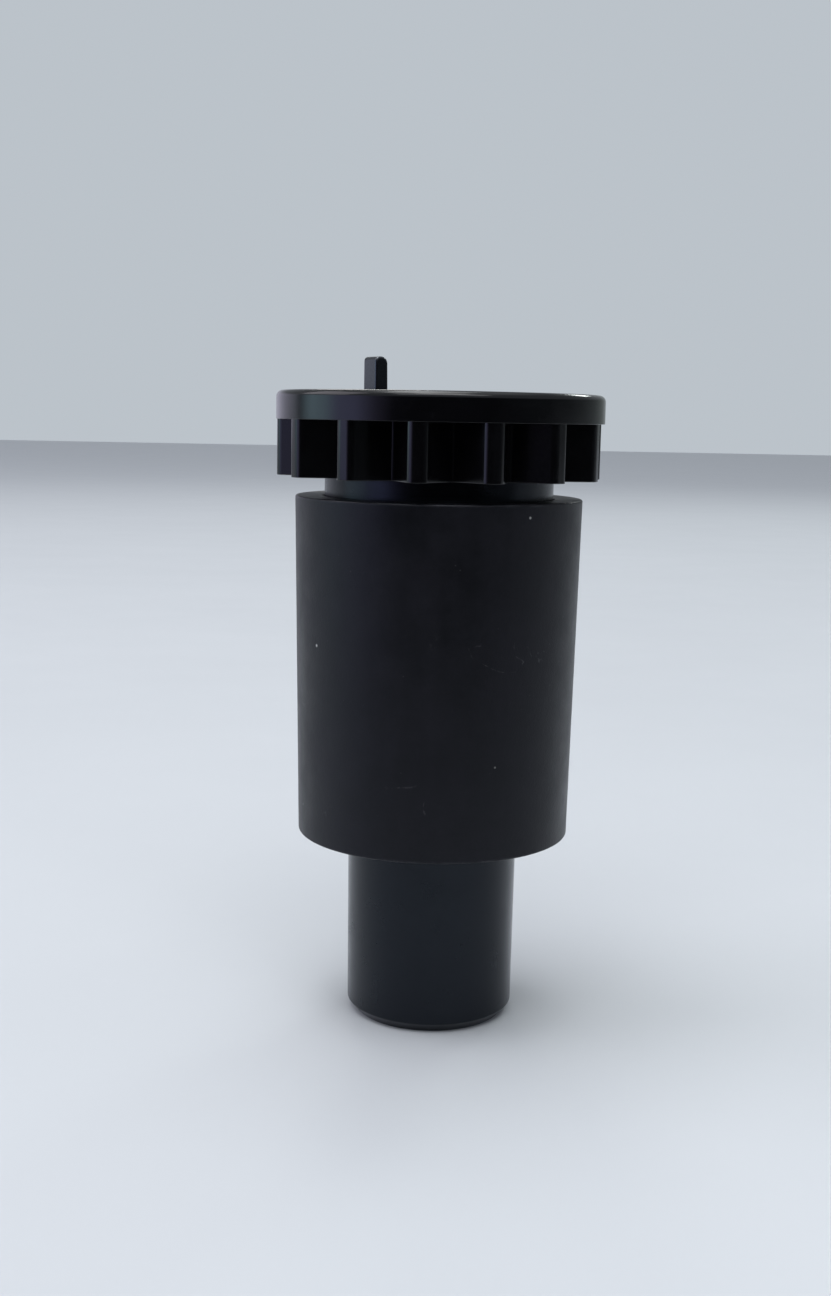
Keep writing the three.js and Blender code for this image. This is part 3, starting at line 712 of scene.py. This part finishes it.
# ---- nozzle --------------------------------------------------------------------------------
NOZZLE_RADIUS = 6.3
NOZZLE_BRIM = 0.7            # thickness of the nozzle body's brim
NOZZLE_BORE = 4.2
THROAT = 3.4
THROAT_FOOT = 104
POST_RADIUS = 3.0            # the deflector's centre post
PLATE = 0.8                  # and the thickness of its top plate
SCREW_RECESS = 1.9
SCREW_HOLE = 1.5
COLLAR_BORE = 3.6
COLLAR_EDGE = 0.2
SCALLOPS = 24
SCALLOP_STEPS = 6
SCALLOP_DEPTH = 0.3
SHANK_RADIUS = 1.1           # the adjusting screw
SCREW_HEAD = 0.45
SLOT_WIDTH = 0.5
SLOT_DEPTH = 0.3


def make_nozzle():
    """The nozzle's body with its brim and throat, and the deflector that closes it."""
    radius, low, high = span("nozzle_body")
    brim = high - NOZZLE_BRIM
    outline = [
        (NOZZLE_RADIUS, low, 0.3), (NOZZLE_RADIUS, brim, 0.1), (radius, brim, 0.2),
        (radius, high, 0.2), (THROAT, high, 0.1), (THROAT, THROAT_FOOT, 0.1),
        (NOZZLE_BORE, THROAT_FOOT, 0.1), (NOZZLE_BORE, low, 0.2),
    ]
    finish("nozzle_base", turned(outline, NOZZLE_ROUND), "riser", "nozzle_body", INNER)
    radius, low, high = span("deflector")
    plate = high - PLATE
    outline = [
        (POST_RADIUS, low, 0.2), (POST_RADIUS, plate, 0.25), (radius, plate, 0.15),
        (radius, high, 0.3), (SCREW_RECESS, high, 0.12), (SCREW_RECESS, plate, 0.05),
        (SCREW_HOLE, plate, 0.05), (SCREW_HOLE, low, 0.1),
    ]
    finish("nozzle_deflector", turned(outline, NOZZLE_ROUND), "riser", "deflector", SATIN)


def make_arc_collar():
    """The collar, with scallops round its edge for a fingertip."""
    radius, low, high = span("arc_collar")
    count = SCALLOPS * SCALLOP_STEPS

    def wavy(outer, height, depth=SCALLOP_DEPTH):
        ring = []
        for j in range(count):
            dip = 0.5 - 0.5 * math.cos(TURN * j / SCALLOP_STEPS)
            reach = outer - depth * dip
            angle = TURN * j / count
            ring.append((reach * math.cos(angle), reach * math.sin(angle), height))
        return ring

    rings = [
        wavy(COLLAR_BORE, low, 0), wavy(radius - COLLAR_EDGE, low),
        wavy(radius, low + COLLAR_EDGE), wavy(radius, high - COLLAR_EDGE),
        wavy(radius - COLLAR_EDGE, high), wavy(COLLAR_BORE, high, 0),
    ]
    finish("arc_setting_collar", loft(rings), "arc_collar", "arc_collar", SATIN)


def make_radius_screw():
    """The steel adjusting screw, its head cut by one slot."""
    radius, low, high = span("radius_screw")
    neck = high - SCREW_HEAD
    outline = [
        (0, low), (SHANK_RADIUS, low, 0.2), (SHANK_RADIUS, neck, 0.05), (radius, neck, 0.1),
        (radius, high, 0.2), (0, high),
    ]
    screw = finish("throw_screw", turned(outline, SCREW_ROUND), "radius_screw", "radius_screw",
                   STEEL)
    length, height = 5, 1             # the cutter reaches past the head all round
    cutter = bmesh.new()
    bmesh.ops.create_cube(cutter, size=1.0)
    bmesh.ops.scale(cutter, vec=(length, SLOT_WIDTH, height), verts=cutter.verts)
    bmesh.ops.translate(cutter, vec=(0, 0, high - SLOT_DEPTH + height / 2), verts=cutter.verts)
    cut(screw, cutter)


# ---- seals, springs and the rest of the inside ---------------------------------------------
# each row is a node, its piece, its body, its bore, its fillet and its material
RINGS = [
    ("wiper_seal", "stem_wiper", "cap", 8.7, 0.45, RUBBER),
    ("cap_gasket", "rim_gasket", "spring_seat", CASE_BORE + 0.2, 0.5, RUBBER),
    ("spring_seat", "upper_spring_seat", "spring_seat", 8.8, 0.3, INNER),
    ("riser_seal", "foot_seal", "riser", 9.0, 0.45, RUBBER),
    ("throttle_plug", "throat_plug", "throttle_plug", 1.4, 0.3, INNER),
    ("filter_screen", "filter_tube", "riser", 3.9, 0.1, SCREEN),
    ("valve_seal", "plunger_seal", "check_valve", 3.0, 0.5, RUBBER),
]
SPRING_STEPS = 40            # steps to each turn of a spring
WIRE_SIDES = 14
FLAT_END = 0.75              # turns at each end of a spring that lie almost flat


def make_simple_rings():
    """The inner rings, each from its node's box and its bore."""
    for node, name, body, bore, fillet, material in RINGS:
        radius, low, high = span(node)
        mesh_tool = turned(ring_outline(bore, radius, low, high, fillet), RING_ROUND)
        finish(name, mesh_tool, body, node, material)


def make_spring(node, name, body, wire, turns):
    """A coil spring of a wire radius."""
    radius, low, high = span(node)
    mean = radius - wire
    ease = FLAT_END / turns
    steps = int(turns * SPRING_STEPS)
    rings = []
    for i in range(steps + 1):
        t = i / steps
        if t < ease:
            climb = 0.5 * t * t / ease
        elif t > 1 - ease:
            climb = 1 - ease - 0.5 * (1 - t) ** 2 / ease
        else:
            climb = t - ease / 2
        height = low + wire + (high - low - 2 * wire) * climb / (1 - ease)
        angle = turns * t * TURN
        ring = []
        for k in range(WIRE_SIDES):
            around = k / WIRE_SIDES * TURN
            reach = mean + wire * math.cos(around)
            ring.append((reach * math.cos(angle), reach * math.sin(angle),
                         height + wire * math.sin(around)))
        rings.append(ring)
    spring = finish(name, loft(rings, capped=True), body, node, STEEL)
    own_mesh(spring)


def carry_over(node, material):
    """Keeps a CAD node's shape and gives it a detailed material."""
    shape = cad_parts[node]
    shape.data.materials.clear()
    shape.data.materials.append(material)


make_case()
make_sleeve()
make_cap()
make_riser()
make_pull_tab()
make_nozzle()
make_arc_collar()
make_radius_screw()
make_simple_rings()
make_spring("riser_spring", "return_spring", "spring_seat", wire=0.5, turns=8.5)
make_spring("valve_spring", "plunger_spring", "case", wire=0.4, turns=4)
for inner_node in ("guide_ring", "filter_frame", "valve_cage", "valve_poppet"):
    carry_over(inner_node, INNER)


# ---- floor, lights and camera --------------------------------------------------------------
FLOOR_FRONT = 0.5            # metres from the object's axis to the table's front edge
FLOOR_BACK = 5.0
FLOOR_SIDE = 4.0


def make_floor():
    """The table's top, which goes far back and a little way forward."""
    mesh_tool = bmesh.new()
    corners = [(-FLOOR_SIDE, -FLOOR_FRONT, 0), (FLOOR_SIDE, -FLOOR_FRONT, 0),
               (FLOOR_SIDE, FLOOR_BACK, 0), (-FLOOR_SIDE, FLOOR_BACK, 0)]
    mesh_tool.faces.new([mesh_tool.verts.new(corner) for corner in corners])
    mesh = bpy.data.meshes.new("floor")
    mesh_tool.to_mesh(mesh)
    mesh_tool.free()
    mesh.materials.append(pale_table())
    placed("floor", mesh)


def area_light(name, place, aim, size, power, colour):
    """A rectangular lamp at a place, turned to a point."""
    data = bpy.data.lights.new(name, "AREA")
    data.shape = "RECTANGLE"
    data.size, data.size_y = size
    data.energy = power
    data.color = colour
    light = placed(name, data)
    light.location = place
    light.rotation_euler = (Vector(aim) - Vector(place)).to_track_quat("-Z", "Y").to_euler()


# The room round the object. Each row is a bearing from the front in degrees, negative to the
# left, and the colour of the light that comes from there at eye height.
ROOM = [
    (-180, (0.50, 0.54, 0.58)),
    (-150, (0.80, 0.79, 0.98)),
    (-130, (0.72, 0.72, 0.90)),
    (-121, (0.62, 0.66, 0.80)),
    (-113, (0.14, 0.17, 0.20)),
    (-100, (1.05, 1.50, 1.75)),
    (-86, (1.05, 1.45, 1.75)),
    (-75, (0.75, 0.80, 1.30)),
    (-60, (0.72, 0.74, 1.25)),
    (-46, (0.26, 0.24, 0.40)),
    (-34, (0.035, 0.035, 0.05)),
    (-15, (0.014, 0.014, 0.019)),
    (30, (0.014, 0.016, 0.019)),
    (70, (0.060, 0.070, 0.080)),
    (92, (0.08, 0.09, 0.10)),
    (129, (0.16, 0.185, 0.19)),
    (150, (0.24, 0.27, 0.27)),
    (180, (0.50, 0.54, 0.58)),
]


CEILING_FRONT = (0.42, 0.45, 0.50)
CEILING_BACK = (0.32, 0.34, 0.37)
ZENITH = (0.90, 0.94, 0.99)           # straight overhead
BACKDROP = (0.50, 0.545, 0.59)        # what the camera sees behind the table


def make_world():
    """A soft room: its walls follow ROOM, and its ceiling is brightest overhead."""
    world = bpy.data.worlds.new("studio")
    world.use_nodes = True
    tree = world.node_tree

    def node(kind, **values):
        made = tree.nodes.new("ShaderNode" + kind)
        for name, value in values.items():
            setattr(made, name, value)
        return made

    def calculate(operation, *sources):
        made = node("Math", operation=operation)
        for source, socket in zip(sources, made.inputs):
            if isinstance(source, (int, float)):
                socket.default_value = source
            else:
                tree.links.new(source, socket)
        return made.outputs["Value"]

    direction = node("SeparateXYZ")
    tree.links.new(node("TexCoord").outputs["Generated"], direction.inputs["Vector"])
    bearing = calculate("ARCTAN2", direction.outputs["X"],
                        calculate("MULTIPLY", direction.outputs["Y"], -1.0))
    place = calculate("MULTIPLY_ADD", bearing, 1 / TURN, 0.5)
    walls = node("ValToRGB")
    stops = walls.color_ramp.elements
    for (angle, colour), stop in zip((ROOM[0], ROOM[-1]), (stops[0], stops[1])):
        stop.position = angle / 360 + 0.5
        stop.color = (*colour, 1)
    for angle, colour in ROOM[1:-1]:
        stops.new(angle / 360 + 0.5).color = (*colour, 1)
    tree.links.new(place, walls.inputs["Fac"])

    def blend(axis, low, high, first, second):
        """Goes from one colour to another as a part of the direction rises."""
        share = node("MapRange", interpolation_type="SMOOTHSTEP")
        tree.links.new(direction.outputs[axis], share.inputs["Value"])
        share.inputs["From Min"].default_value = low
        share.inputs["From Max"].default_value = high
        mixed = node("Mix", data_type="RGBA")
        tree.links.new(share.outputs["Result"], mixed.inputs["Factor"])
        for colour, index in zip((first, second), MIX_INPUTS):
            if isinstance(colour, tuple):
                mixed.inputs[index].default_value = (*colour, 1)
            else:
                tree.links.new(colour, mixed.inputs[index])
        return mixed.outputs[MIX_OUTPUT]

    upper = blend("Y", -0.6, 0.5, CEILING_FRONT, CEILING_BACK)
    room = blend("Z", 0.12, 0.32, walls.outputs["Color"], upper)
    room = blend("Z", 0.75, 0.92, room, ZENITH)
    light = tree.nodes["Background"]
    tree.links.new(room, light.inputs["Color"])
    backdrop = node("Background")
    backdrop.inputs["Color"].default_value = (*BACKDROP, 1)
    seen = node("LightPath").outputs["Is Camera Ray"]
    either = node("MixShader")
    tree.links.new(seen, either.inputs["Fac"])
    tree.links.new(light.outputs["Background"], either.inputs[1])
    tree.links.new(backdrop.outputs["Background"], either.inputs[2])
    tree.links.new(either.outputs["Shader"], tree.nodes["World Output"].inputs["Surface"])
    bpy.context.scene.world = world
    bpy.context.scene.view_settings.view_transform = "Standard"


# each row is a name, a place, the point it is turned to, a size, a power in watts and a colour
LIGHTS = [
    ("window", (-1.9, 0.1, 1.5), (0, 0, 0.06), (1.8, 1.4), 15, (0.96, 0.92, 1.0)),
    ("top_lamp", (-0.2, 0.1, 1.7), (0, 0, 0), (1.2, 0.6), 11, (0.97, 0.99, 1.0)),
    ("front_box", (0, -0.9, 1.25), (0, -0.05, 0), (1.4, 0.5), 5, (0.98, 0.99, 1.0)),
    ("front_fill", (0, -0.2, 0.5), (0, -0.1, 0), (0.2, 0.2), 0.35, (1.0, 1.0, 1.0)),
    ("back_lamp", (-0.25, 1.6, 1.15), (0, 0, 0.1), (0.45, 0.35), 2.2, (1.0, 0.99, 0.95)),
    ("right_lamp", (0.85, 1.5, 1.1), (0, 0, 0.1), (0.4, 0.25), 4, (0.93, 1.0, 0.97)),
]
CAMERA_PLACE = (-0.003593, -0.271086, 0.106892)
CAMERA_TILT = 8.5714         # degrees below level
CAMERA_ROLL = 1.0714         # degrees
CAMERA_LENS = 42.7825        # millimetres, on a sensor 36 mm high
SENSOR_HEIGHT = 36


def make_camera():
    """The camera, in front of the object and a little above its middle."""
    data = bpy.data.cameras.new("camera")
    data.sensor_fit = "VERTICAL"
    data.sensor_height = SENSOR_HEIGHT
    data.lens = CAMERA_LENS
    camera = placed("camera", data)
    camera.location = CAMERA_PLACE
    tilt = Euler((QUARTER - math.radians(CAMERA_TILT), 0, 0)).to_matrix()
    roll = Euler((0, 0, math.radians(CAMERA_ROLL))).to_matrix()
    camera.rotation_euler = (tilt @ roll).to_euler()
    bpy.context.scene.camera = camera


make_floor()
make_world()
for row in LIGHTS:
    area_light(*row)
make_camera()
